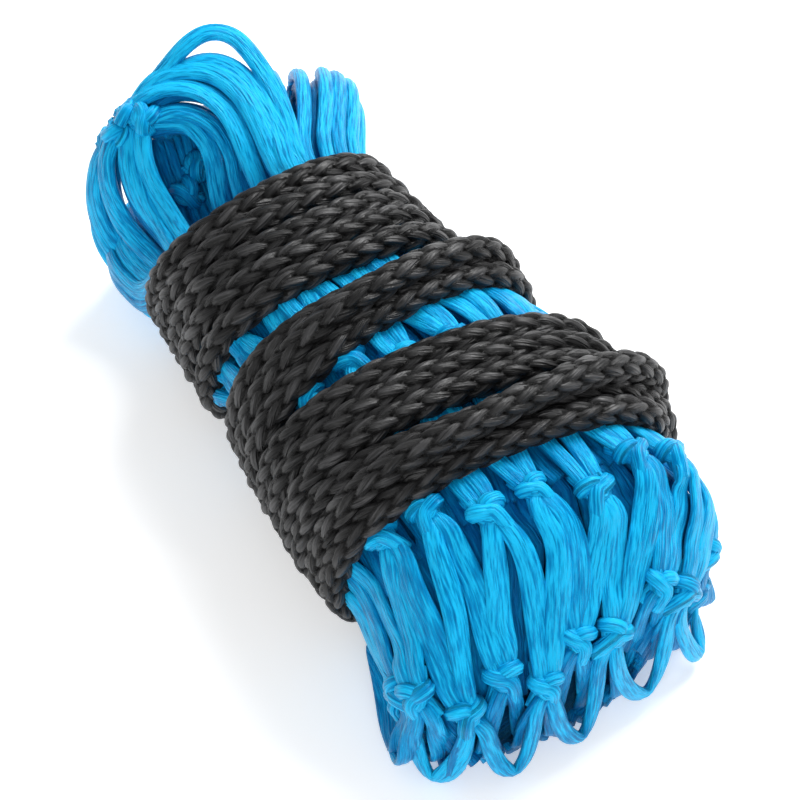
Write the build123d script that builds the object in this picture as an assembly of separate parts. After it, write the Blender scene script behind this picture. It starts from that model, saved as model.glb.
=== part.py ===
from build123d import *
import os

# Drawcord net bag, folded lengthwise into a bundle and lashed with its own drawcord.
# Millimetres. +X runs to the foot of the bag, +Y to its right, +Z up.
# The origin is under the middle of the folded netting, on the surface that it rests on.

# Driving dimensions
NET_LENGTH = 218.0
NET_WIDTH = 96.0
CORD_DIAMETER = 8.0
ROLL_START = -70.0
ROLL_END = 64.0
LAYER_SHARE = 0.52          # the inner roll's size as a share of the outer roll's
CORNER_SHARE = 0.46         # corner radius as a share of a section's shorter side
GROOVE_DEPTH = 1.8          # dip between two neighbouring turns of the cord
TURN_CROWN = 0.25           # half the flat crown of a turn, as a share of the cord's diameter

# Sections across X: position, half width, bottom, top, centre in Y.
# The roll is pulled in by the cord, so it lies one cord diameter above the surface there.
ROLL_SECTIONS = [
    (ROLL_START, 31, CORD_DIAMETER, 60, -9),
    (-45, 32, CORD_DIAMETER, 60, -9),
    (-20, 34, CORD_DIAMETER, 61, -8),
    (-4, 37, CORD_DIAMETER, 62, -5),
    (14, 42, CORD_DIAMETER, 62, -2),
    (40, 44, CORD_DIAMETER, 62, -1),
    (ROLL_END, 43, CORD_DIAMETER, 60, 0),
]
# The foot sags below the surface by this much before its underside is cut flat
FOOT_SAG = 1.5
FOOT_SECTIONS = [
    (ROLL_END, 43, 2, 60, 0),
    (72, 46, -FOOT_SAG, 59, 1),
    (84, NET_WIDTH / 2 - 1, -FOOT_SAG, 54, 1),
    (94, 41, -FOOT_SAG, 42, -5),
    (101, 34, 0, 31, -10),
    (106, 26, 0, 22, -14),
    (NET_LENGTH / 2, 16, 3, 14, -16),
]
FLOOR_FOLD_SECTIONS = [
    (ROLL_START, 36, 0, 30, -10),
    (-86, 38, 0, 32, -10),
    (-97, 32, 3, 30, -12),
    (-104, 22, 8, 24, -14),
]
LEFT_BIGHT_SECTIONS = [
    (ROLL_START, 12, 31, 60, -34),
    (-88, 14, 33, 66, -NET_WIDTH / 2 + 14),
    (-100, 11, 36, 62, -34),
    (-106, 6, 42, 56, -34),
]
TOP_BIGHT_SECTIONS = [
    (ROLL_START, 13, 48, 70, -6),
    (-90, 14, 50, 78, -6),
    (-103, 12, 54, 78, -7),
    (-NET_LENGTH / 2, 7, 60, 74, -8),
]
RIGHT_PLEAT_SECTIONS = [
    (ROLL_START, 12, 31, 60, 20),
    (-88, 14.5, 33, 62, 23.5),
    (-98, 12, 36, 60, 24),
    (-103, 6, 42, 54, 24),
]

# Where the turns of each winding cross the top of the roll
UPPER_TURNS = [-60, -51, -42, -33, -24]
MIDDLE_TURNS = [-10, -1, 8]
LOWER_TURNS = [20, 29, 38, 47, 56]

# The twine ring that closes the foot of the bag, inside the open fold
GATHER_RADIUS = 7.0
GATHER_TWINE = 1.5
GATHER_CENTRE = (ROLL_START - GATHER_TWINE, -6, 39)


def section(x, half_width, bottom, top, centre, grow=0.0):
    """A flat-bottomed rounded section across X, grown outwards by grow."""
    width = 2 * (half_width + grow)
    height = top - bottom + 2 * grow
    plane = Plane(origin=(x, centre, (bottom + top) / 2), x_dir=(0, 1, 0), z_dir=(1, 0, 0))
    return plane * RectangleRounded(width, height, CORNER_SHARE * min(width, height))


def shrunk(x, half_width, bottom, top, centre):
    """The same section at the inner roll's size."""
    middle = (bottom + top) / 2
    half_height = LAYER_SHARE * (top - bottom) / 2
    return section(x, LAYER_SHARE * half_width, middle - half_height, middle + half_height, centre)


def fold(rows):
    """A closed solid through the sections."""
    return loft([section(*row) for row in rows], ruled=True)


def roll_at(x):
    """The roll's section at x, between its stated sections."""
    for low, high in zip(ROLL_SECTIONS, ROLL_SECTIONS[1:]):
        if low[0] <= x <= high[0]:
            share = (x - low[0]) / (high[0] - low[0])
            return [x] + [a + share * (b - a) for a, b in zip(low[1:], high[1:])]
    raise ValueError("no roll section at " + str(x))


def winding(turns, roll):
    """The outer shape of neighbouring turns round the roll, with a groove between turns."""
    half_pitch = (turns[1] - turns[0]) / 2
    crown = TURN_CROWN * CORD_DIAMETER
    low = CORD_DIAMETER - GROOVE_DEPTH
    rows = [(turns[0] - half_pitch, low)]
    for turn in turns:
        rows.append((turn - crown, CORD_DIAMETER))
        rows.append((turn + crown, CORD_DIAMETER))
        rows.append((turn + half_pitch, low))
    outside = loft([section(*roll_at(x), grow=grow) for x, grow in rows], ruled=True)
    return outside - roll


roll = fold(ROLL_SECTIONS)
inner_roll = loft([shrunk(*row) for row in ROLL_SECTIONS], ruled=True)
foot_fold = split(fold(FOOT_SECTIONS), bisect_by=Plane.XY, keep=Keep.TOP)
gather_ring = Plane(origin=GATHER_CENTRE, z_dir=(1, 0, 0)) * Torus(GATHER_RADIUS, GATHER_TWINE)

parts = {
    "net_inner_roll": inner_roll,
    "net_outer_roll": roll - inner_roll,
    "net_foot_fold": foot_fold,
    "net_floor_fold": fold(FLOOR_FOLD_SECTIONS),
    "net_left_bights": fold(LEFT_BIGHT_SECTIONS),
    "net_top_bights": fold(TOP_BIGHT_SECTIONS),
    "net_right_pleats": fold(RIGHT_PLEAT_SECTIONS),
    "gather_ring": gather_ring,
    "drawcord_upper_winding": winding(UPPER_TURNS, roll),
    "drawcord_middle_winding": winding(MIDDLE_TURNS, roll),
    "drawcord_lower_winding": winding(LOWER_TURNS, roll),
}

os.makedirs("parts", exist_ok=True)
for name, part in parts.items():
    part.label = name
    export_step(part, "parts/" + name + ".step")
    print(name, round(part.volume / 1000, 2), "cm3", part.bounding_box())
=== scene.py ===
import math

import bpy
import numpy as np
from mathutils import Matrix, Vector


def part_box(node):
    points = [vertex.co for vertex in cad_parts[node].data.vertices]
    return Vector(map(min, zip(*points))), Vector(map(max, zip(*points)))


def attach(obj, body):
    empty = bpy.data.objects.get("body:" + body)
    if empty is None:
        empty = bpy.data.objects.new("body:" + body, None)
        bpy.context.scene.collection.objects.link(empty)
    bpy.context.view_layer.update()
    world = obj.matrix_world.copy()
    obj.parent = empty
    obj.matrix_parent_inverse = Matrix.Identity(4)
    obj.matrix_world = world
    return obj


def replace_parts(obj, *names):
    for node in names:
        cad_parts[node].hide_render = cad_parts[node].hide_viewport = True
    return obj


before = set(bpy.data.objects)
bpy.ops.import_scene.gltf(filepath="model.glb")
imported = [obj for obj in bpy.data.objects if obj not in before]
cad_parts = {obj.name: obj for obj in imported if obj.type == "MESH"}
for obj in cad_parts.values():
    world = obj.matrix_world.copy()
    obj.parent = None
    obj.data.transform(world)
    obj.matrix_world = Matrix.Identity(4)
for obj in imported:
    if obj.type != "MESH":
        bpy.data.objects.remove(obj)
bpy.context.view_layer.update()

MM = 0.001
rng = np.random.default_rng(7)


# ---------------------------------------------------------------- camera
def make_camera():
    """A long lens, looking down on the foot end from the left."""
    azimuth, elevation = math.radians(61), math.radians(50)
    distance = 650 * MM
    focal_length = 108.2
    target = Vector((8, -3, 30)) * MM
    away = Vector((
        math.cos(elevation) * math.sin(azimuth),
        -math.cos(elevation) * math.cos(azimuth),
        math.sin(elevation),
    ))
    data = bpy.data.cameras.new("camera")
    data.lens = focal_length
    data.clip_start = 0.01
    camera = bpy.data.objects.new("camera", data)
    camera.location = target + away * distance
    camera.rotation_mode = "QUATERNION"
    camera.rotation_quaternion = (-away).to_track_quat("-Z", "Y")
    bpy.context.collection.objects.link(camera)
    bpy.context.scene.camera = camera


make_camera()


# ---------------------------------------------------------------- small helpers
def node_points(node):
    """A CAD node's vertices in the shared frame, in metres."""
    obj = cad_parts[node]
    co = np.empty(len(obj.data.vertices) * 3)
    obj.data.vertices.foreach_get("co", co)
    world = np.array(obj.matrix_world)
    return co.reshape(-1, 3) @ world[:3, :3].T + world[:3, 3]


FEWEST_IN_RING = 100
SAME_SECTION = 0.05 * MM


def stations(node):
    """Rows of x, half width, bottom, top and centre in Y at each section of a CAD fold."""
    points = node_points(node)
    rows = []
    for x in np.unique(np.round(points[:, 0], 4)):
        ring = points[np.abs(points[:, 0] - x) < SAME_SECTION]
        if len(ring) < FEWEST_IN_RING:
            continue
        low, high = ring.min(axis=0), ring.max(axis=0)
        rows.append((x, (high[1] - low[1]) / 2, low[2], high[2], (high[1] + low[1]) / 2))
    return np.array(rows)


def sections_at(rows, x):
    """Half width, bottom, top and centre of a fold at each x."""
    return [np.interp(x, rows[:, 0], rows[:, i]) for i in range(1, 5)]


SQUARENESS = 2.5


def around(rows, x, angle, out):
    """Points on a fold's section at x, at an angle from +Y, out from its surface."""
    half, bottom, top, centre = sections_at(rows, x)
    c, s = np.cos(angle), np.sin(angle)
    power = 2 / SQUARENESS
    y = centre + (half + out) * np.sign(c) * np.abs(c) ** power
    z = (bottom + top) / 2 + ((top - bottom) / 2 + out) * np.sign(s) * np.abs(s) ** power
    return np.stack([x + 0 * y, y, z], axis=1)


def unit(vectors):
    return vectors / np.maximum(np.linalg.norm(vectors, axis=-1, keepdims=True), 1e-12)


def resampled(points, step):
    """Evenly spaced points along a line, about step apart."""
    run = np.concatenate([[0], np.cumsum(np.linalg.norm(np.diff(points, axis=0), axis=1))])
    count = max(4, int(round(run[-1] / step)) + 1)
    at = np.linspace(0, run[-1], count)
    return np.stack([np.interp(at, run, points[:, i]) for i in range(3)], axis=1), at


def nurbs_line(points, name, resolution):
    """Points read from one open NURBS spline whose control points are given."""
    curve = bpy.data.curves.new(name, "CURVE")
    curve.dimensions = "3D"
    curve.resolution_u = resolution
    spline = curve.splines.new("NURBS")
    spline.points.add(len(points) - 1)
    spline.points.foreach_set("co", np.c_[points, np.ones(len(points))].ravel())
    spline.order_u = 3
    spline.use_endpoint_u = True
    holder = bpy.data.objects.new(name, curve)
    line = bpy.data.meshes.new_from_object(holder)
    co = np.empty(len(line.vertices) * 3)
    line.vertices.foreach_get("co", co)
    bpy.data.meshes.remove(line)
    bpy.data.objects.remove(holder)
    bpy.data.curves.remove(curve)
    return co.reshape(-1, 3)


def carried_frames(points):
    """Tangents and two normals that turn as little as they can along a line."""
    tangents = unit(np.gradient(points, axis=0))
    nearly_parallel = 0.2
    normal = np.cross(tangents[0], (1.0, 0.0, 0.0))
    if np.linalg.norm(normal) < nearly_parallel:
        normal = np.cross(tangents[0], (0.0, 1.0, 0.0))
    normals = np.empty_like(points)
    for i, tangent in enumerate(tangents):
        normal = normal - tangent * normal.dot(tangent)
        normal = normal / np.linalg.norm(normal)
        normals[i] = normal
    return tangents, normals, np.cross(tangents, normals)


STRAND_UV = "strand"
# Per-vertex attribute: colour that varies at random, times painted shade in crevices, grooves and deep
# layers
TONE_AND_SHADE = "tone"


def mesh_piece(name, co, quads, caps, material, uv, tone):
    """A smooth mesh object from arrays, with one UV per vertex and, per vertex, a random colour factor times
    painted shade.
    """
    mesh = bpy.data.meshes.new(name)
    mesh.vertices.add(len(co))
    mesh.vertices.foreach_set("co", np.asarray(co, np.float32).ravel())
    loops = np.concatenate([quads.ravel(), *[np.asarray(c) for c in caps]]).astype(np.int32)
    sizes = np.concatenate([np.full(len(quads), 4), [len(c) for c in caps]]).astype(np.int32)
    starts = np.concatenate([[0], np.cumsum(sizes)[:-1]]).astype(np.int32)
    mesh.loops.add(len(loops))
    mesh.loops.foreach_set("vertex_index", loops)
    mesh.polygons.add(len(sizes))
    mesh.polygons.foreach_set("loop_start", starts)
    mesh.update(calc_edges=True)
    mesh.polygons.foreach_set("use_smooth", np.ones(len(sizes), bool))
    layer = mesh.uv_layers.new(name=STRAND_UV)
    layer.data.foreach_set("uv", np.asarray(uv, np.float32)[loops].ravel())
    attribute = mesh.attributes.new(TONE_AND_SHADE, "FLOAT", "POINT")
    attribute.data.foreach_set("value", np.asarray(tone, np.float32))
    mesh.materials.append(material)
    mesh.update()
    obj = bpy.data.objects.new(name, mesh)
    bpy.context.collection.objects.link(obj)
    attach(obj, "root")
    return obj


def tube_faces(rings, count):
    """The faces between rings of vertices, count in each, and the two faces that close the ends."""
    i = np.arange(rings - 1)[:, None] * count
    j = np.arange(count)[None, :]
    k = (j + 1) % count
    quads = np.stack([i + j, i + k, i + count + k, i + count + j], axis=-1).reshape(-1, 4)
    first = list(range(count))[::-1]
    last = list(range((rings - 1) * count, rings * count))
    return quads, (first, last)


# ---------------------------------------------------------------- materials
class Material:
    """A procedural material: its shader, and the nodes that are put in front of it."""

    def __init__(self, name):
        self.data = bpy.data.materials.new(name)
        self.data.use_nodes = True
        self.tree = self.data.node_tree
        self.shader = self.tree.nodes["Principled BSDF"]

    def fill(self, node, inputs):
        """Sets a node's inputs, each to a constant or to another node's output."""
        for key, value in inputs.items():
            if isinstance(value, bpy.types.NodeSocket):
                self.tree.links.new(value, node.inputs[key])
            else:
                node.inputs[key].default_value = value

    def add(self, kind, output, **inputs):
        """A new node's output, by name or number."""
        node = self.tree.nodes.new(kind)
        self.fill(node, inputs)
        return node.outputs[output]

    def calc(self, operation, *values):
        """The result of one sum."""
        node = self.tree.nodes.new("ShaderNodeMath")
        node.operation = operation
        self.fill(node, dict(enumerate(values)))
        return node.outputs[0]

    def tone(self):
        """The value stored at each vertex: a random colour factor times painted shade."""
        node = self.tree.nodes.new("ShaderNodeAttribute")
        node.attribute_name = TONE_AND_SHADE
        return node.outputs["Fac"]

    def streaks(self, across, along, detail, turn=0.0):
        """Noise that varies so fast across a strand and so fast along it, per millimetre."""
        uv = self.tree.nodes.new("ShaderNodeUVMap")
        uv.uv_map = STRAND_UV
        stretched = self.add(
            "ShaderNodeMapping", "Vector",
            Vector=uv.outputs["UV"], Scale=(across, along, 1), Rotation=(0, 0, turn),
        )
        return self.add("ShaderNodeTexNoise", "Fac", Vector=stretched, Scale=1.0, Detail=detail)

    def ramp(self, source, stops):
        """A colour for each value of the source, through stops of position and colour."""
        node = self.tree.nodes.new("ShaderNodeValToRGB")
        elements = node.color_ramp.elements
        while len(elements) < len(stops):
            elements.new(0.5)
        for element, (position, colour) in zip(elements, stops):
            element.position = position
            element.color = (*colour, 1)
        self.tree.links.new(source, node.inputs["Fac"])
        return node.outputs["Color"]

    def bump(self, height, strength, distance):
        return self.add("ShaderNodeBump", "Normal", Height=height, Strength=strength, Distance=distance)


def cord_material():
    """Black fibres that shine on the crowns of the tufts, with painted shade between them: there the stored
    value darkens the colour and lowers the specular level.
    """
    material = Material("braided_cord")
    fibres = material.streaks(1.5, 0.1, 3.0)
    tone = material.tone()
    sharper = material.calc("MULTIPLY_ADD", fibres, 1.9, -0.45)
    colour = material.ramp(material.calc("MULTIPLY", sharper, tone), [
        (0.14, (0.0008, 0.0008, 0.001)),
        (0.4, (0.006, 0.006, 0.0065)),
        (0.7, (0.034, 0.034, 0.036)),
    ])
    material.fill(material.shader, {
        "Base Color": colour,
        "Normal": material.bump(fibres, 1.0, 0.9 * MM),
        # painted shade: less specular reflection in the gaps between the tufts
        "Specular IOR Level": material.calc("MULTIPLY", tone, 0.5),
        "Roughness": 0.44,
        "Sheen Weight": 0.03,
        "Sheen Roughness": 0.4,
    })
    return material.data


# ---------------------------------------------------------------- the drawcord
CORD_D = 8.0 * MM
ROLL = stations("net_outer_roll")

# Where each turn crosses the bundle, in millimetres along X, in the order that the cord runs:
# under it, on its left, upper left, top, upper right and right.
TURNS = [
    (-64, -58.5, -41.5, -49, -52, -52),
    (-54, -51, -36, -41.5, -43, -43),
    (-45, -42, -28, -31.5, -33, -34),
    (-36, -34.5, -22.5, -24, -28, -31),
    (-27, -22, -15.5, -15.5, -18, -19),
    (-12, 0, 3.0, -1.0, -4, -11),
    (-3, 7, 6.5, 1.5, -1.5, -7.5),
    (6, 14.5, 10.5, 3.5, 1.0, -3.5),
    (17, 22.5, 27.5, 23, 28.5, 36.5),
    (27, 29.5, 31, 29.7, 36, 43.5),
    (35, 35.5, 35.7, 34.6, 43, 47),
    (41, 42, 46.5, 51.5, 54, 50.5),
    (44, 44, 50.5, 54.5, 50.5, 45),
    (48, 50, 55, 57, 59, 51),
]
# How far each turn is lifted there by the turns that it crosses, in cord diameters.
LIFTS = [
    (0, 0, 0, 0, 0, 0),
    (0, 0, 0, 0, 0, 0),
    (0, 0, 0.2, 0, 0, 0),
    (0, 0.2, 0, 0.2, 0.7, 0.6),
    (0, 0, 0, 0, 0, 0),
    (0, 0, 0, 0, 0, 0),
    (0, 0.4, 0.9, 1.15, 1.15, 0.8),
    (0, 0.3, 0, 0, 0, 0),
    (0, 0.3, 0, 0, 0, 0),
    (0, 0.6, 0.6, 0, 0, 0.3),
    (0, 0, 0, 0, 0, 0.2),
    (0, 0, 0.2, 0, 0, 0),
    (0, 0.3, 0.9, 1.15, 1.2, 0.8),
    (0, 0, 0, 0, 0, 0.1),
]
TURN_STOPS = (0.25, 0.5, 0.625, 0.75, 0.875, 1.0)
# The two ends, as turns, place and lift: where the cord leaves the netting, and where it is tucked
LEAVING = [(-0.12, -72, -0.6), (0, -68, 0)]
TUCKED = [(0.08, 47, -0.1), (0.16, 44, -0.8)]
POINTS_PER_TURN = 30


def wound_points():
    """The cord's control points: the turns, from the end that leaves the netting to the tucked end."""
    stops = list(LEAVING)
    for number, (places, lifts) in enumerate(zip(TURNS, LIFTS)):
        stops += [(number + stop, x, lift) for stop, x, lift in zip(TURN_STOPS, places, lifts)]
    stops += [(len(TURNS) + stop, x, lift) for stop, x, lift in TUCKED]
    turns, x, lift = np.array(stops).T
    at = np.arange(turns[0], turns[-1], 1 / POINTS_PER_TURN)
    blur = np.array([1, 2, 3, 4, 3, 2, 1]) / 16
    x_at = np.convolve(np.pad(np.interp(at, turns, x), 3, "edge"), blur, "valid") * MM
    lift_at = np.convolve(np.pad(np.interp(at, turns, lift), 3, "edge"), blur, "valid") * CORD_D
    return around(ROLL, x_at, -2 * math.pi * at, CORD_D / 2 + lift_at)


def outside_roll(points, clearance):
    """Moves points that are less than clearance from the roll's surface straight out."""
    half, bottom, top, centre = sections_at(ROLL, points[:, 0])
    y, z = points[:, 1] - centre, points[:, 2] - (bottom + top) / 2
    a, b = half + clearance, (top - bottom) / 2 + clearance
    level = (np.abs(y / a) ** SQUARENESS + np.abs(z / b) ** SQUARENESS) ** (1 / SQUARENESS)
    grow = np.where(level < 1, 1 / np.maximum(level, 0.3), 1.0)
    points[:, 1] = centre + y * grow
    points[:, 2] = (bottom + top) / 2 + z * grow
    return points


def settled(points):
    """Lets the turns push each other apart until they lie side by side or over one another."""
    steps, spacing, clearance = 150, 7.4 * MM, CORD_D / 2 - 0.2 * MM
    push_share, longest_push = 0.22, 0.9 * MM
    stiffness, hold_along, hold = 0.3, 0.06, 0.015
    near_in_line, held_at_ends = 7, 4
    home = points.copy()
    count = len(points)
    index = np.arange(2 * count - 1)
    apart = np.abs(index[:, None] - index[None, :]) > near_in_line
    loose = slice(held_at_ends, count - held_at_ends)
    for _ in range(steps):
        fine = np.empty((2 * count - 1, 3))
        fine[::2] = points
        fine[1::2] = (points[1:] + points[:-1]) / 2
        gap = fine[:, None, :] - fine[None, :, :]
        distance = np.sqrt((gap ** 2).sum(-1)) + 1e-9
        push = np.where(apart & (distance < spacing), (spacing - distance) / distance, 0.0)
        move = push_share * (gap * push[..., None]).sum(axis=1)
        shift = move[::2].copy()
        shift[:-1] += move[1::2] / 2
        shift[1:] += move[1::2] / 2
        points = points.copy()
        points[loose] += np.clip(shift[loose], -longest_push, longest_push)
        bend = np.zeros_like(points)
        bend[1:-1] = (points[:-2] + points[2:]) / 2 - points[1:-1]
        points[loose] += stiffness * bend[loose]
        points[loose, 0] += hold_along * (home[loose, 0] - points[loose, 0])
        points[loose] += hold * (home[loose] - points[loose])
        free = outside_roll(points.copy(), clearance)
        points[loose] = free[loose]
        points[:, 2] = np.maximum(points[:, 2], CORD_D / 2)
    return points


BRAID_COLUMNS = 8
BRAID_RADIUS = 2.8 * MM
TUFT_CROWN = 1.5 * MM
TUFT_PITCH = 7.4 * MM
TUFT_SLANT = math.radians(16)
TUFT_HALF_LENGTH = 4.6 * MM
COLUMN_WIDTH = 2 * math.pi * (BRAID_RADIUS + TUFT_CROWN / 2) / BRAID_COLUMNS
TUFT_HALF_WIDTH = 0.66 * COLUMN_WIDTH


def tufts(along, across, column_at):
    """How high the highest tuft stands at each place, its slant, and its colour factor: random from tuft to
    tuft, with painted shade where the tufts are low.
    """
    best = np.zeros_like(along)
    tone = np.full_like(along, 0.5)
    lean = np.zeros_like(along)
    for step_column in (-1, 0, 1):
        column = np.floor(column_at)[None, :] + step_column
        whole = np.mod(column, BRAID_COLUMNS)
        odd = np.mod(whole, 2)
        side = TUFT_SLANT * (1 - 2 * odd)
        phase = odd * 0.5 + 0.12 * np.sin(whole * 2.4)
        for step_tuft in (-1, 0, 1):
            tuft = np.round(along / TUFT_PITCH - phase) + step_tuft
            ds = along - (tuft + phase) * TUFT_PITCH
            dw = across - (column + 0.5) * COLUMN_WIDTH
            a = (ds * np.cos(side) + dw * np.sin(side)) / TUFT_HALF_LENGTH
            b = (-ds * np.sin(side) + dw * np.cos(side)) / TUFT_HALF_WIDTH
            b = b * (1 + 0.3 * a * a)
            chance = np.mod(np.sin(tuft * 12.9898 + whole * 78.233) * 43758.5453, 1.0)
            body = 1 - np.abs(a) ** 2.2 - np.abs(b) ** 2
            height = np.clip(body, 0, 1) ** 0.6 * (0.9 + 0.16 * chance) * (1 - 0.2 * a)
            height = np.where(body > 0, height, 0)
            higher = height > best
            tone = np.where(higher, 0.72 + 0.5 * chance, tone)
            lean = np.where(higher, side, lean)
            best = np.where(higher, height, best)
    # painted shade: the colour factor falls towards 0.12 in the gaps between the tufts
    return best, tone * (0.12 + 0.88 * np.clip(best, 0, 1)), lean


def braid_surface(points, run, count):
    """A round braid along a line: columns of fibre tufts that lean to one side and the other by turns."""
    _, normals, sides = carried_frames(points)
    column_at = np.linspace(0, BRAID_COLUMNS, count, endpoint=False)
    along = run[:, None] + 0 * column_at[None, :]
    across = (column_at[None, :] + 0 * run[:, None]) * COLUMN_WIDTH
    height, tone, lean = tufts(along, across, column_at)
    fade = np.ones(len(points))
    ends = 8
    fade[:ends] = np.sqrt(np.linspace(0.02, 1, ends))
    fade[-ends:] = fade[:ends][::-1]
    out = (BRAID_RADIUS + TUFT_CROWN * height) * fade[:, None]
    angle = 2 * math.pi * column_at / BRAID_COLUMNS
    co = (
        points[:, None, :]
        + out[..., None] * np.cos(angle)[None, :, None] * normals[:, None, :]
        + out[..., None] * np.sin(angle)[None, :, None] * sides[:, None, :]
    )
    uv = np.stack([
        (-along * np.sin(lean) + across * np.cos(lean)) / MM,
        (along * np.cos(lean) + across * np.sin(lean)) / MM,
    ], axis=-1)
    return co.reshape(-1, 3), uv.reshape(-1, 2), tone.ravel()


def make_drawcord():
    points_round, step = 40, 0.74 * MM
    line = nurbs_line(settled(wound_points()), "drawcord_line", 6)
    points, run = resampled(line, step)
    co, uv, tone = braid_surface(points, run, points_round)
    quads, caps = tube_faces(len(points), points_round)
    cord = mesh_piece("drawcord", co, quads, caps, cord_material(), uv, tone)
    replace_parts(cord, "drawcord_upper_winding", "drawcord_middle_winding", "drawcord_lower_winding")


make_drawcord()


# ---------------------------------------------------------------- the netting
def netting_material():
    """Blue filaments in fine streaks and coarser plies. The light dashes of the fine streaks are partly
    painted highlights on the twisted plies; painted shade darkens the colour deep in the bundle.
    """
    material = Material("netting_twine")
    # fine streaks: fibre texture, whose light dashes are partly painted highlights on the twisted plies
    fine = material.streaks(1.8, 0.16, 4.0, turn=0.06)
    plies = material.calc("MULTIPLY_ADD", material.streaks(0.6, 0.05, 2.0), 0.45, 0.06)
    both = material.calc("MULTIPLY_ADD", fine, 1.3, plies)
    material.fill(material.shader, {
        "Base Color": material.ramp(material.calc("MULTIPLY", both, material.tone()), [
            (0.15, (0.0, 0.03, 0.12)),
            (0.5, (0.0, 0.12, 0.36)),
            (0.8, (0.0, 0.28, 0.62)),
            (1.0, (0.01, 0.52, 0.92)),
        ]),
        "Normal": material.bump(both, 0.9, 0.8 * MM),
        "Roughness": 0.33,
        "Specular IOR Level": 0.5,
        "Specular Tint": (0.12, 0.72, 1.0, 1),
        "Sheen Weight": 0.08,
        "Sheen Roughness": 0.35,
        "Sheen Tint": (0.1, 0.7, 1.0, 1),
    })
    return material.data


NETTING = netting_material()
OFF_GROUND = 0.1 * MM


class Bundle:
    """Strands gathered into one mesh piece."""

    def __init__(self):
        self.co, self.quads, self.uv, self.tone, self.caps, self.count = [], [], [], [], [], 0

    def add(self, co, quads, caps, uv, tone):
        self.quads.append(quads + self.count)
        self.caps += [[v + self.count for v in cap] for cap in caps]
        self.co.append(co)
        self.uv.append(uv)
        self.tone.append(tone)
        self.count += len(co)

    def piece(self, name, slot="netting"):
        """One piece of all the strands. Where they would lie below the ground they lie flat on it."""
        co = np.concatenate(self.co)
        co[:, 2] = np.maximum(co[:, 2], OFF_GROUND)
        return mesh_piece(
            name, co, np.concatenate(self.quads), self.caps, NETTING,
            np.concatenate(self.uv), np.concatenate(self.tone),
        )


def swept(bundle, points, run, across, up, half_width, half_thick, profile, tone):
    """Sweeps a profile of rows (across, up, painted shade in the grooves) along a line. The two scales vary
    along it.
    """
    u, v, shade = profile
    co = (
        points[:, None, :]
        + across[:, None, :] * (half_width[:, None] * u)[..., None]
        + up[:, None, :] * (half_thick[:, None] * v)[..., None]
    )
    sideways = np.diff(u, axis=1, prepend=u[:, :1]) * half_width[:, None]
    outwards = np.diff(v, axis=1, prepend=v[:, :1]) * half_thick[:, None]
    girth = np.cumsum(np.hypot(sideways, outwards), axis=1)
    offset = rng.uniform(0, 400, 2)
    uv = np.stack([girth / MM + offset[0], run[:, None] / MM + offset[1] + 0 * u], axis=-1)
    quads, caps = tube_faces(len(points), u.shape[1])
    bundle.add(co.reshape(-1, 3), quads, caps, uv.reshape(-1, 2), (tone * shade).ravel())


def flat_strand(bundle, controls, ups, width, thick, tone, ends=3.4 * MM, lobes=5, step=1.5 * MM,
                fine=24, turn=0.0):
    """A flat bundle of parallel plies. It narrows at its ends, where it enters a knot."""
    line = nurbs_line(np.array(controls), "strand_line", 4)
    points, run = resampled(line, step)
    share = run / run[-1]
    tangents = unit(np.gradient(points, axis=0))
    ups = np.array(ups, float)
    at = np.linspace(0, 1, len(ups))
    up = np.stack([np.interp(share, at, ups[:, i]) for i in range(3)], axis=1)
    up = unit(up - tangents * (up * tangents).sum(axis=1, keepdims=True))
    across = np.cross(tangents, up)
    sway = turn * np.sin(math.pi * share) + rng.normal(0, 0.12) * np.sin(2 * math.pi * share)
    across, up = (
        across * np.cos(sway)[:, None] + up * np.sin(sway)[:, None],
        up * np.cos(sway)[:, None] - across * np.sin(sway)[:, None],
    )
    swell = np.sin(math.pi * np.clip(share, 0, 1)) ** 0.55
    swell *= 1 + 0.06 * np.sin(share * rng.uniform(8, 14) + rng.uniform(0, 6))
    half_width = (ends + (width - ends) * swell) / 2
    half_thick = (0.85 * ends + (thick - 0.85 * ends) * swell) / 2
    phi = np.linspace(0, 2 * math.pi, fine, endpoint=False)
    u = np.cos(phi)[None, :] + 0 * run[:, None]
    drift = (run / MM)[:, None] * rng.uniform(0.012, 0.03) * rng.choice([-1, 1]) + rng.uniform(0, 1)
    place = u * 0.5 + 0.5
    ripple = np.abs(np.sin(math.pi * (lobes * place + drift))) ** 0.6
    v = np.sign(np.sin(phi)) * np.abs(np.sin(phi)) ** 0.8 * (0.8 + 0.22 * ripple)
    # painted shade: darker in the grooves between the plies
    profile = (u, v, 0.8 + 0.24 * ripple)
    swept(bundle, points, run, across, up, half_width, half_thick, profile, tone)


def round_strand(bundle, controls, radius, tone):
    """A strand of round section with shallow plies, for a knot."""
    fine, step = 14, 0.75 * MM
    line = nurbs_line(np.array(controls), "knot_line", 5)
    points, run = resampled(line, step)
    _, normals, sides = carried_frames(points)
    phi = np.linspace(0, 2 * math.pi, fine, endpoint=False)
    ripple = np.abs(np.cos(3.5 * (phi[None, :] + (run / MM)[:, None] * 0.06)))
    reach = 0.92 + 0.12 * ripple
    u, v = np.cos(phi) * reach, np.sin(phi) * reach
    scale = np.full(len(points), radius)
    # painted shade: darker in the grooves between the plies
    profile = (u, v, 0.78 + 0.26 * ripple)
    swept(bundle, points, run, normals, sides, scale, scale, profile, tone)


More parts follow.
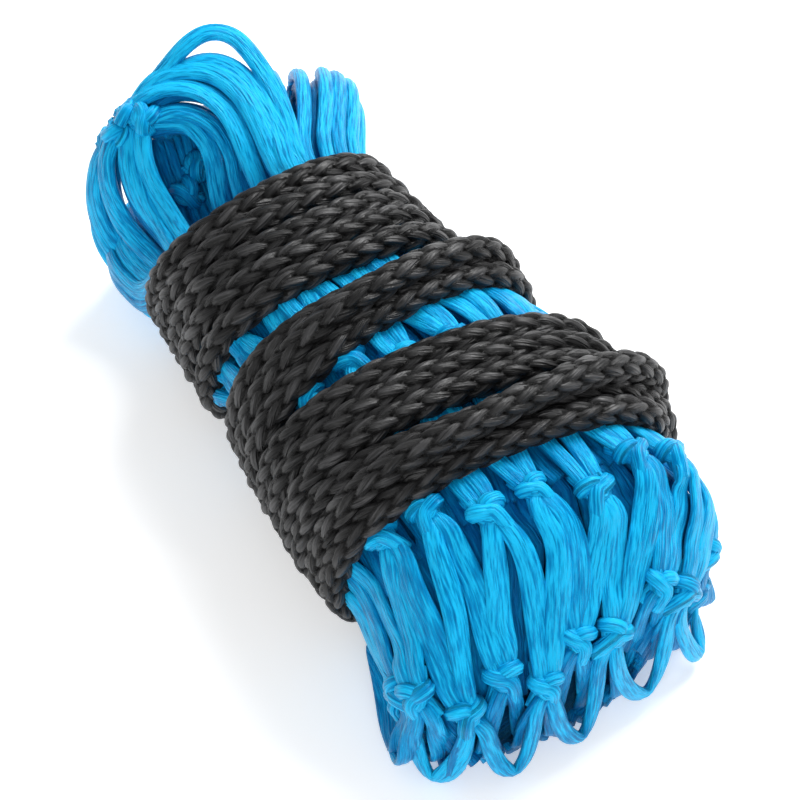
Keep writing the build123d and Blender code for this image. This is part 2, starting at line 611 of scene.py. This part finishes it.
# The two strands of a sheet bend, in strand radii: across, towards the row above, outwards
KNOT_BIGHT = [
    (-1.2, 3.2, -1.0), (-0.9, 0.5, 0), (-0.6, -0.9, 0.2), (0, -1.3, 0.3),
    (0.6, -0.9, 0.2), (0.9, 0.5, 0), (1.2, 3.2, -1.0),
]
KNOT_WRAP = [
    (-1.4, -3.6, -1.0), (-0.5, -1.2, -0.8), (-0.2, 0.2, 0.3), (-0.1, 0.8, 0.9),
    (1.5, 0.9, 0.6), (1.9, 0.6, -0.4), (0, 0.8, -1.3), (-1.9, 0.5, -0.3),
    (-1.5, 0.2, 0.9), (0, -0.2, 0.7), (0.9, -0.9, 1.1), (1.4, -3.6, -0.9),
]
KNOT_UNIT = 1.88 * MM


class Knot:
    """A knot at a place, with its own axes: across, towards the row above, and outwards."""

    def __init__(self, place, up_row, outwards, size):
        self.place = np.array(place, float)
        self.y = unit(np.array(up_row, float))
        z = np.array(outwards, float)
        self.z = unit(z - self.y * z.dot(self.y))
        self.x = np.cross(self.y, self.z)
        self.size = size * KNOT_UNIT

    def at(self, x, y, z):
        return self.place + self.size * (x * self.x + y * self.y + z * self.z)

    def tie(self, bundle, tone, stub=1.0):
        """Both strands of the knot. Their four ends stand out as far as stub says."""
        flip = rng.choice([-1, 1])
        for rows in (KNOT_BIGHT, KNOT_WRAP):
            jitter = rng.normal(0, 0.07, (len(rows), 3))
            reach = [stub] + [1] * (len(rows) - 2) + [stub]
            controls = [
                self.at(flip * (x + a), y * r + b, z + c)
                for (x, y, z), (a, b, c), r in zip(rows, jitter, reach)
            ]
            round_strand(bundle, controls, 1.07 * self.size, tone * rng.uniform(0.94, 1.08))


# ---- the surfaces that the strands follow, as rings of sections
class Skin:
    """A smooth closed surface through rings of x, half width, bottom, top and centre in Y.

    A place along it is its distance along the top, in millimetres. Past the outer ring the
    surface turns back inside itself. The sign is that of X from its first ring to its outer one."""

    def __init__(self, rings, outer, sign):
        self.sign = sign
        steps = 16
        index = np.linspace(0, len(rings) - 1, (len(rings) - 1) * steps + 1)
        raw = np.stack([np.interp(index, np.arange(len(rings)), rings[:, i]) for i in range(5)])
        blur = np.hanning(19)[1:-1]
        half = len(blur) // 2
        padded = np.pad(raw, ((0, 0), (half, half)), "reflect", reflect_type="odd")
        self.rows = np.array([np.convolve(row, blur / blur.sum(), "valid") for row in padded])
        self.travel = np.concatenate([
            [0], np.cumsum(np.hypot(np.diff(self.rows[0]), np.diff(self.rows[3]))),
        ]) / MM
        self.last = outer * steps
        self.outer = float(self.travel[self.last])

    def place_at(self, x):
        """The distance along the outer side at x in millimetres."""
        x_here = self.rows[0, :self.last + 1] * self.sign
        return float(np.interp(x * MM * self.sign, x_here, self.travel[:self.last + 1]))

    def point(self, angle, place, out=0.0):
        x, half, bottom, top, centre = (np.interp(place, self.travel, row) for row in self.rows)
        c, s = math.cos(angle), math.sin(angle)
        power = 2 / SQUARENESS
        y = centre + half * math.copysign(abs(c) ** power, c)
        z = (bottom + top) / 2 + (top - bottom) / 2 * math.copysign(abs(s) ** power, s)
        point = np.array((x, y, z))
        return point if out == 0 else point + out * self.out(angle, place)

    def along(self, angle, place):
        return unit(self.point(angle, place + 1.5) - self.point(angle, place - 1.5))

    def out(self, angle, place):
        round_it = self.point(angle + 0.04, place) - self.point(angle - 0.04, place)
        return unit(np.cross(round_it, self.along(angle, place))) * self.sign


FOOT = stations("net_foot_fold")
TIP = FOOT[-1]


def inside(tip, x, share, bottom, top):
    return (x * MM, tip[1] * share, bottom * MM, top * MM, tip[4])


BODY = Skin(np.vstack([
    ROLL[:-1],
    FOOT,
    [inside(TIP, 107.5, 0.7, 5, 11), inside(TIP, 102, 0.7, 7, 14), inside(TIP, 92, 0.8, 8, 19),
     inside(TIP, 78, 0.9, 10, 25)],
]), len(ROLL) + len(FOOT) - 2, 1)


def even_angles(skin, ring):
    """Angle for each share of the way round, evenly spaced along the girth."""
    angle = np.linspace(0, 2 * math.pi, 721)
    points = np.array([skin.point(a, ring) for a in angle])
    girth = np.concatenate([[0], np.cumsum(np.linalg.norm(np.diff(points, axis=0), axis=1))])
    return girth / girth[-1], angle


GIRTH, GIRTH_ANGLE = even_angles(BODY, BODY.place_at(60))


def angle_at(share):
    turns = math.floor(share)
    return 2 * math.pi * turns + float(np.interp(share - turns, GIRTH, GIRTH_ANGLE))


COLUMNS = 18
# Where each row of knots lies along X, in millimetres, against the share of the way round from +Y
ROUND = [0, 0.08, 0.17, 0.25, 0.33, 0.42, 0.5, 0.6, 0.75, 0.9, 1.0]
ROWS = [
    ([-50, -50, -49, -47, -42, -40, -53, -58, -60, -55, -50], 1, -1.0),
    ([-14, -16, -20, -23, -23, -19, -20, -20, -20, -18, -14], 2.5, 0.5),
    ([28, 26, 25, 21, 15, 13, 19, 24, 24, 26, 28], 2.5, 0.4),
    ([64, 70, 74, 74, 68, 57, 48, 56, 66, 66, 64], 3.5, 1.4),
    ([90, 96, 99, 101, 101, 99, 85, 89, 89, 87, 90], 2.5, 1.0),
]


def make_rows():
    """The knots of each row, scattered a little about their places."""
    rows = []
    for number, (places, spread, out) in enumerate(ROWS):
        knots = []
        for column in range(COLUMNS):
            share = (column + 0.5 * (number % 2) + rng.uniform(-0.14, 0.14)) / COLUMNS
            lift = spread * (0.8 if column % 2 else -0.8) * rng.uniform(0.4, 1.1)
            ring = BODY.place_at(np.interp(share % 1.0, ROUND, places) + lift)
            angle = angle_at(share)
            raised = (out + rng.uniform(-0.6, 0.9)) * MM
            knot = Knot(
                BODY.point(angle, ring, raised), -BODY.along(angle, ring), BODY.out(angle, ring),
                rng.uniform(0.92, 1.1),
            )
            knot.angle, knot.ring = angle, ring
            knots.append(knot)
        rows.append(knots)
    return rows


def swell_between(ring):
    """How far the netting swells out where the cord leaves it room, in metres."""
    rooms, reach, most = (-34, -14, 12), 6, 2.0
    x = np.interp(ring, BODY.travel, BODY.rows[0]) / MM
    return sum(most * math.exp(-((x - room) / reach) ** 2) for room in rooms) * MM


STRAND_THICK = 2.8 * MM


def leg(bundle, above, below, side, out, width):
    """A strand from a knot to the next row's knot, on one side of it."""
    gap = (below.angle - above.angle + math.pi) % (2 * math.pi) - math.pi
    bend = rng.uniform(-0.03, 0.03)
    controls = [above.at(0.45 * side, -1.5, 0.2), above.at(1.25 * side, -3.4, 0.2)]
    ups = [above.z, above.z]
    for share in (0.3, 0.5, 0.7):
        angle = above.angle + gap * (0.22 + 0.56 * share) + bend * math.sin(math.pi * share)
        ring = above.ring + (below.ring - above.ring) * share
        raised = out * MM * math.sin(math.pi * share) ** 0.6 + swell_between(ring)
        controls.append(BODY.point(angle, ring, raised))
        ups.append(BODY.out(angle, ring))
    controls += [below.at(-1.15 * side, 3.2, 0.0), below.at(-0.8 * side, 0.8, 0.0)]
    ups += [below.z, below.z]
    tone, turn = rng.uniform(0.86, 1.1), rng.uniform(-0.35, 0.35)
    flat_strand(bundle, controls, ups, width, STRAND_THICK, tone, turn=turn)


def join_rows(bundle, above, below, offset, widths, outs):
    """Two legs from each knot to its neighbours in the next row."""
    for column, knot in enumerate(above):
        for side in (0, 1):
            other = below[(column + side + offset) % COLUMNS]
            leg(bundle, knot, other, -1 if side else 1, rng.uniform(*outs), rng.uniform(*widths) * MM)


def under_layer(bundle, starts, last, depth, tone, width):
    """A layer of strands that shows between those on top. The starts lie along X, in millimetres."""
    strands, thick, points = 40, 2.6 * MM, 12
    for number in range(strands):
        share = (number + rng.uniform(-0.25, 0.25)) / strands
        angle = angle_at(share)
        rings = np.linspace(BODY.place_at(np.interp(share % 1.0, ROUND, starts)), last, points)
        wobble = rng.uniform(-0.03, 0.03, points)
        controls = [
            BODY.point(angle + w, r, (-depth + rng.uniform(-0.5, 0.5)) * MM)
            for r, w in zip(rings, wobble)
        ]
        ups = [BODY.out(angle, r) for r in rings]
        flat_strand(
            bundle, controls, ups, width * MM, thick, tone * rng.uniform(0.85, 1.1),
            ends=0.8 * width * MM, lobes=3, step=3.0 * MM, fine=14,
        )


def core(bundle, skin, first, last, depth, tone, rings):
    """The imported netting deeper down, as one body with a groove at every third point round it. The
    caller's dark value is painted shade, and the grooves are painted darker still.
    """
    count, groove, groove_painted_shade = 132, 0.7, 0.6
    at = np.linspace(first, last, rings)
    angles = np.linspace(0, 2 * math.pi, count, endpoint=False)
    in_groove = np.arange(count) % 3 == 0
    co = np.array([
        [skin.point(a, r, (-depth - groove * low) * MM) for a, low in zip(angles, in_groove)] for r in at
    ])
    across, along = np.arange(count) * 1.7, np.arange(rings) * 5.0
    uv = np.stack(np.broadcast_arrays(across[None, :], along[:, None]), axis=-1)
    # painted shade in the grooves
    shade = np.where(in_groove, groove_painted_shade, 1.0)[None, :] + np.zeros((rings, 1))
    quads, caps = tube_faces(rings, count)
    bundle.add(co.reshape(-1, 3), quads, caps, uv.reshape(-1, 2), (tone * shade).ravel())


def turn_under(bundle, knot, side):
    """A leg from a knot at the rim, down round the rim and back beneath the bundle."""
    start = knot.at(1.3 * side, -3.3, 0.1)
    x, y, z = start
    spread = 1.8 * side * MM
    low = rng.uniform(3.0, 5.5) * MM
    drop = max(z - low, 0.0)
    reach = rng.uniform(-2.5, 0.5) * MM
    controls = [
        knot.at(0.45 * side, -1.5, 0.2),
        start,
        (x + reach, y + spread, low + 0.55 * drop),
        (x + 0.4 * reach, y + 1.6 * spread, low + 0.12 * drop),
        (x - 7 * MM, 0.98 * y + 1.2 * spread, low),
        (x - 18 * MM, 0.93 * y, low + 1 * MM),
        (x - 30 * MM, 0.88 * y, low + 4 * MM),
    ]
    ups = [knot.z, knot.z, (1, 0, 0.3), (0.8, 0, -0.5), (0.2, 0, -1), (0, 0, -1), (0, 0, -1)]
    # painted shade: the strands that go beneath the bundle are darker, 0.7 to 0.9
    flat_strand(bundle, controls, ups, rng.uniform(4.8, 6.8) * MM, 2.6 * MM, rng.uniform(0.7, 0.9))


LOWEST_HUNG = 6 * MM


def rim_loop(bundle, first, second):
    """A strand that hangs in a loop between two neighbouring knots at the rim."""
    start, end = first.at(-1.3, -3.3, 0.1), second.at(1.3, -3.3, 0.1)
    away = unit((first.z + second.z) * (1, 1, 0))
    low, reach = rng.uniform(2.4, 5.0) * MM, rng.uniform(3.0, 6.5) * MM
    controls, ups = [first.at(-0.45, -1.5, 0.2), start], [first.z, first.z]
    for share, fall in ((0.06, 0.4), (0.24, 0.8), (0.5, 1.0), (0.76, 0.8), (0.94, 0.4)):
        point = start + (end - start) * share + away * reach * math.sin(math.pi * share) ** 0.7
        point[2] -= fall * max(point[2] - low, 0)
        controls.append(point)
        ups.append(away + np.array((0, 0, 0.5 - fall)))
    controls += [end, second.at(0.45, -1.5, 0.2)]
    ups += [second.z, second.z]
    width = rng.uniform(4.2, 5.6) * MM
    flat_strand(bundle, controls, ups, width, STRAND_THICK, rng.uniform(0.9, 1.08))


def make_roll_and_foot():
    rows = make_rows()
    roll, foot = Bundle(), Bundle()
    end_of_roll = BODY.place_at(66)
    # painted shade: the core (0.45) and the layer under the top strands (0.72) are darker because they lie
    # deep in the bundle
    core(roll, BODY, BODY.place_at(-52), end_of_roll, 5.5, 0.45, 40)
    under_layer(roll, ROWS[0][0], end_of_roll + 4, 3.2, 0.72, 6.4)
    join_rows(roll, rows[0], rows[1], -1, (5.6, 7.4), (-1.8, 0.3))
    join_rows(roll, rows[1], rows[2], 0, (5.6, 7.4), (-1.8, 0.3))
    for knots in rows[1:3]:
        for knot in knots:
            knot.tie(roll, 0.98)
    join_rows(roll, rows[2], rows[3], -1, (5.2, 7.0), (-1.8, 0.8))
    # painted shade: the core (0.4) and the layer under the top strands (0.7) are darker because they lie
    # deep in the bundle
    core(foot, BODY, end_of_roll - 4, BODY.outer - 14, 7.0, 0.4, 24)
    under_layer(foot, [64] * len(ROUND), BODY.outer - 12, 4.0, 0.7, 6.0)
    join_rows(foot, rows[3], rows[4], 0, (6.4, 8.6), (-1.8, 1.4))
    for knots in rows[3:]:
        for knot in knots:
            knot.tie(foot, rng.uniform(0.95, 1.08))
    for column, knot in enumerate(rows[4]):
        other = rows[4][(column + 2) % COLUMNS]
        for side in (-1, 1):
            turn_under(foot, knot, side)
        if column % 2 and min(knot.place[2], other.place[2]) > LOWEST_HUNG:
            rim_loop(foot, knot, other)
    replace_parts(roll.piece("net_roll"), "net_inner_roll", "net_outer_roll")
    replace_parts(foot.piece("net_foot"), "net_foot_fold")


make_roll_and_foot()

# ---- the far end, where the folded netting turns back on itself round a hollow, in millimetres
HOLLOW = np.array((-84, -14, 40))
TOP_ARCS = [
    [(-52, 5, 55), (-62, 2, 59), (-72, 5, 63), (-83, 6, 67), (-94, 5, 71), (-102, 3, 73), (-105.5, -3, 74),
     (-105, -10, 72.5), (-104.5, -17, 67), (-103, -25, 61)],
    [(-50, 1, 54), (-60, -1, 59), (-70, 2, 62.5), (-81, 2, 65.5), (-92, 1, 67.5), (-99, -4, 68.5),
     (-101, -11, 67.5), (-102, -18, 64.5), (-102.5, -26, 59)],
    [(-54, -4, 54), (-64, -4, 58.5), (-73, -3, 63), (-84, -3, 66.5), (-94, -6, 67.5), (-100, -13, 67),
     (-103, -20, 65), (-102.5, -26, 61), (-100, -31, 57)],
    [(-56, -8, 48), (-65, -8, 55), (-74, -7, 60.5), (-83, -7, 63.5), (-92, -11, 65), (-97, -18, 65),
     (-100, -25, 62), (-101, -31, 57)],
    [(-60, -14, 42), (-69, -13, 50), (-76, -11, 56), (-84, -12, 60), (-91, -17, 62), (-95, -24, 61),
     (-97, -30, 57)],
    [(-62, -19, 36), (-71, -18, 45), (-78, -15, 53), (-85, -16, 58), (-90, -20, 60), (-94, -27, 58)],
]
LEFT_ARCS = [
    [(-95, -29, 58), (-90, -32, 54), (-85, -32, 47), (-80, -31, 42), (-71, -30, 38), (-60, -31, 40)],
    [(-98, -32, 57), (-93, -36, 53), (-87, -37, 46), (-82, -36, 40), (-75, -34, 36), (-62, -35, 36)],
    [(-101, -33, 55), (-98, -39, 51), (-94, -42, 44), (-89, -42, 35), (-82, -40, 29), (-72, -37, 27),
     (-60, -36, 30)],
    [(-102, -34, 52), (-103, -40, 47), (-99, -45, 38), (-96, -46, 30), (-91, -45, 22), (-83, -42, 18),
     (-72, -38, 18), (-60, -35, 22)],
    [(-103, -30, 46), (-104, -38, 38), (-101, -43, 28), (-97, -45, 19), (-90, -43, 12), (-80, -39, 10),
     (-64, -34, 13)],
]
RIGHT_ARCS = [
    [(-50, -2, 56), (-62, -3, 59), (-74, 2, 62), (-86, 5, 63), (-95, 7, 60), (-99, 7, 53), (-93, 5, 45),
     (-80, 3, 38), (-62, 2, 32)],
    [(-50, 2, 56), (-62, 1, 60), (-75, 7, 63), (-88, 10, 63), (-96, 12, 60), (-100, 12, 53), (-95, 10, 45),
     (-80, 8, 37), (-62, 6, 31)],
    [(-50, 6, 55), (-61, 5, 59), (-74, 13, 61), (-85, 18, 61), (-94, 21, 57), (-98, 21, 50), (-92, 18, 42),
     (-78, 14, 35), (-61, 10, 30)],
    [(-50, 10, 53), (-62, 10, 57), (-74, 18, 59), (-84, 23, 59), (-93, 27, 55), (-96, 27, 48), (-90, 23, 40),
     (-76, 18, 33), (-60, 14, 29)],
    [(-50, 14, 51), (-62, 15, 55), (-74, 22, 57), (-83, 27, 57), (-92, 31, 53), (-95, 31, 46), (-88, 27, 37),
     (-74, 21, 31), (-59, 17, 27)],
    [(-52, 18, 48), (-64, 20, 51), (-73, 26, 53), (-83, 31, 53), (-91, 34, 49), (-94, 33, 42), (-87, 29, 34),
     (-72, 22, 28), (-58, 19, 25)],
    [(-56, 20, 42), (-68, 25, 45), (-75, 29, 46), (-83, 33, 46), (-91, 35, 43), (-93, 34, 36), (-86, 29, 28),
     (-70, 21, 25), (-57, 19, 22)],
]
CLUSTER = [(-100, -30, 59), (-99, -34, 55), (-95, -28, 60), (-103, -36, 48)]
INNER_KNOTS = [(-88, -16, 42), (-80, -10, 45), (-83, -22, 38)]

FLOOR_FOLD = stations("net_floor_fold")[::-1]
FAR_TIP = FLOOR_FOLD[-1]
FAR = Skin(np.vstack([
    [(x * MM, *(float(v) for v in sections_at(ROLL, x * MM))) for x in (-46, -58)],
    FLOOR_FOLD,
    [inside(FAR_TIP, -102, 0.7, 12, 20), inside(FAR_TIP, -94, 0.7, 13, 24),
     inside(FAR_TIP, -80, 0.8, 13, 27)],
]), 1 + len(FLOOR_FOLD), -1)


def part_way(first, second, share):
    """A row of points between two others of the same kind."""
    count = max(len(first), len(second))
    at = np.linspace(0, 1, count)
    rows = []
    for points in (np.array(first, float), np.array(second, float)):
        own = np.linspace(0, 1, len(points))
        rows.append(np.stack([np.interp(at, own, points[:, i]) for i in range(3)], axis=1))
    return rows[0] * (1 - share) + rows[1] * share


def arc(bundle, points, width, tone, thick=2.8, ends=4.6, turn=0.0):
    """A strand through points, its flat side away from the hollow and mostly upwards."""
    points = np.array(points, float)
    ups = unit(0.6 * unit(points - HOLLOW) + np.array((0.3, -0.15, 0.7)))
    flat_strand(bundle, points * MM, ups, width * MM, thick * MM, tone, ends=ends * MM, turn=turn)


ARC_TONES = (0.9, 1.08)
# painted shade on the deeper arcs between the rows
DEEPER_PAINTED_SHADE = 0.65


def arcs(bundle, rows, width, deeper=3.0, **more):
    """Every arc in the rows, and one between each pair, a little deeper and darker with painted shade."""
    for row in rows:
        places = np.array(row) + rng.normal(0, 0.4, 3)
        arc_width, tone = width * rng.uniform(0.9, 1.1), rng.uniform(*ARC_TONES)
        arc(bundle, places, arc_width, tone, turn=rng.uniform(-0.4, 0.4), **more)
    for first, second in zip(rows, rows[1:]):
        row = part_way(first, second, 0.5)
        row = row - deeper * unit(row - HOLLOW)
        arc_width, tone = width * rng.uniform(0.85, 1.0), rng.uniform(*ARC_TONES) * DEEPER_PAINTED_SHADE
        arc(bundle, row, arc_width, tone, turn=rng.uniform(-0.3, 0.3), **more)


def loose_knots(bundle, places):
    """Knots with short ends, turned any way, among the arcs."""
    size, tone, stub = 1.05, 0.95, 0.45
    for place in places:
        outwards = unit(np.array(place) - HOLLOW) + np.array((0.2, -0.1, 0.6))
        up_row = np.array((0.5, 0.6, 0.1)) + rng.normal(0, 0.3, 3)
        Knot(np.array(place) * MM, up_row, outwards, size).tie(bundle, tone, stub)


def floor_strands(bundle):
    """Strands all the way round the fold on the ground, over its edge and back inside it."""
    strands, thick, ends = 38, 2.7 * MM, 4.6 * MM
    shaded_from, shaded_to, shaded_tone = 0.1, 0.4, 0.72
    for number in range(strands):
        share = (number + rng.uniform(-0.2, 0.2)) / strands
        shaded = shaded_tone if shaded_from < share < shaded_to else 1.0
        angle = angle_at(share)
        rings = np.linspace(4, FAR.outer + 30, 15)
        out = rng.uniform(-2.4, -0.8)
        controls = [FAR.point(angle, r, out * MM) for r in rings]
        ups = [FAR.out(angle, r) for r in rings]
        width, tone = rng.uniform(5.6, 7.2) * MM, shaded * rng.uniform(0.8, 1.02)
        flat_strand(bundle, controls, ups, width, thick, tone, ends=ends)


def hollow_lining(bundle):
    """Strands that line the hollow: over its floor, up its far side and back under the top arcs. They are
    darker, as painted shade.
    """
    for share in np.linspace(0, 1, 11):
        nearer = rng.uniform(-2.5, 2.5)
        places = [
            (18, -18 + 36 * share, -6),
            (-2 + nearer, -13 + 26 * share, -9 + 2 * math.sin(math.pi * share)),
            (-12 + nearer, -14 + 28 * share, 5),
            (-14 + nearer, -13 + 27 * share, 13),
            (-8 + nearer, -11 + 25 * share, 16),
        ]
        # painted shade: 0.55 to 0.85 inside the hollow
        arc(bundle, HOLLOW + np.array(places), rng.uniform(3.8, 5.2), rng.uniform(0.55, 0.85), ends=3.4)


def make_far_end():
    top, left, right, floor = Bundle(), Bundle(), Bundle(), Bundle()
    arcs(top, TOP_ARCS[:1], 5.2, thick=3.4)
    arcs(top, TOP_ARCS[1:], 6.2, thick=3.6)
    loose_knots(top, CLUSTER + INNER_KNOTS)
    arcs(left, LEFT_ARCS, 6.4, thick=3.8)
    arcs(right, RIGHT_ARCS, 4.7, deeper=4.5, thick=3.6, ends=4.0)
    # painted shade: the core under the floor strands is dark (0.3)
    core(floor, FAR, 3, FAR.outer - 8, 5.0, 0.3, 30)
    floor_strands(floor)
    hollow_lining(floor)
    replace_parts(top.piece("net_top_loops"), "net_top_bights")
    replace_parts(left.piece("net_left_loops"), "net_left_bights")
    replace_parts(right.piece("net_right_loops"), "net_right_pleats")
    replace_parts(floor.piece("net_floor_loops"), "net_floor_fold")


make_far_end()


def make_gather_ring():
    """Two plies of twine, laid round each other in a ring."""
    low, high = (np.array(v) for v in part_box("gather_ring"))
    centre, reach = (low + high) / 2, (high[1] - low[1]) / 2
    twine = (high[0] - low[0]) / 2
    bundle = Bundle()
    steps, turns_of_lay = 48, 9
    for ply in (0, 1):
        controls = []
        for step in range(steps + 1):
            angle = 2 * math.pi * step / steps
            lay = turns_of_lay * angle + math.pi * ply
            radius = reach - twine + 0.5 * twine * math.cos(lay)
            controls.append(centre + np.array((
                0.5 * twine * math.sin(lay), radius * math.cos(angle), radius * math.sin(angle),
            )))
        round_strand(bundle, controls, 0.5 * twine, 0.8)
    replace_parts(bundle.piece("gather_twine_ring", "gather_twine"), "gather_ring")


make_gather_ring()


# ---------------------------------------------------------------- floor and light
def make_floor():
    mesh = bpy.data.meshes.new("floor")
    size = 3.0
    corners = [(-size, -size, 0), (size, -size, 0), (size, size, 0), (-size, size, 0)]
    mesh.from_pydata(corners, [], [(0, 1, 2, 3)])
    floor = bpy.data.objects.new("floor", mesh)
    bpy.context.collection.objects.link(floor)
    material = Material("pale_floor")
    material.fill(material.shader, {
        "Base Color": (0.93, 0.935, 0.94, 1),
        "Roughness": 0.65,
        "Emission Color": (1, 1, 1, 1),
        "Emission Strength": 0.36,
    })
    mesh.materials.append(material.data)


def softbox(name, place, power):
    """A square light that points at the middle of the object."""
    width, aim = 0.7, Vector((0, 0, 0.03))
    data = bpy.data.lights.new(name, "AREA")
    data.size = width
    data.energy = power
    light = bpy.data.objects.new(name, data)
    light.location = place
    light.rotation_mode = "QUATERNION"
    light.rotation_quaternion = (aim - Vector(place)).to_track_quat("-Z", "Y")
    bpy.context.collection.objects.link(light)


def make_light():
    world = bpy.data.worlds.new("studio")
    world.use_nodes = True
    background = world.node_tree.nodes["Background"]
    background.inputs["Color"].default_value = (1, 1, 1, 1)
    background.inputs["Strength"].default_value = 0.5
    bpy.context.scene.world = world
    bpy.context.scene.view_settings.view_transform = "Standard"
    softbox("key", (-0.45, 0.75, 0.95), 20)
    softbox("fill", (0.9, -0.5, 0.7), 5)


make_floor()
make_light()
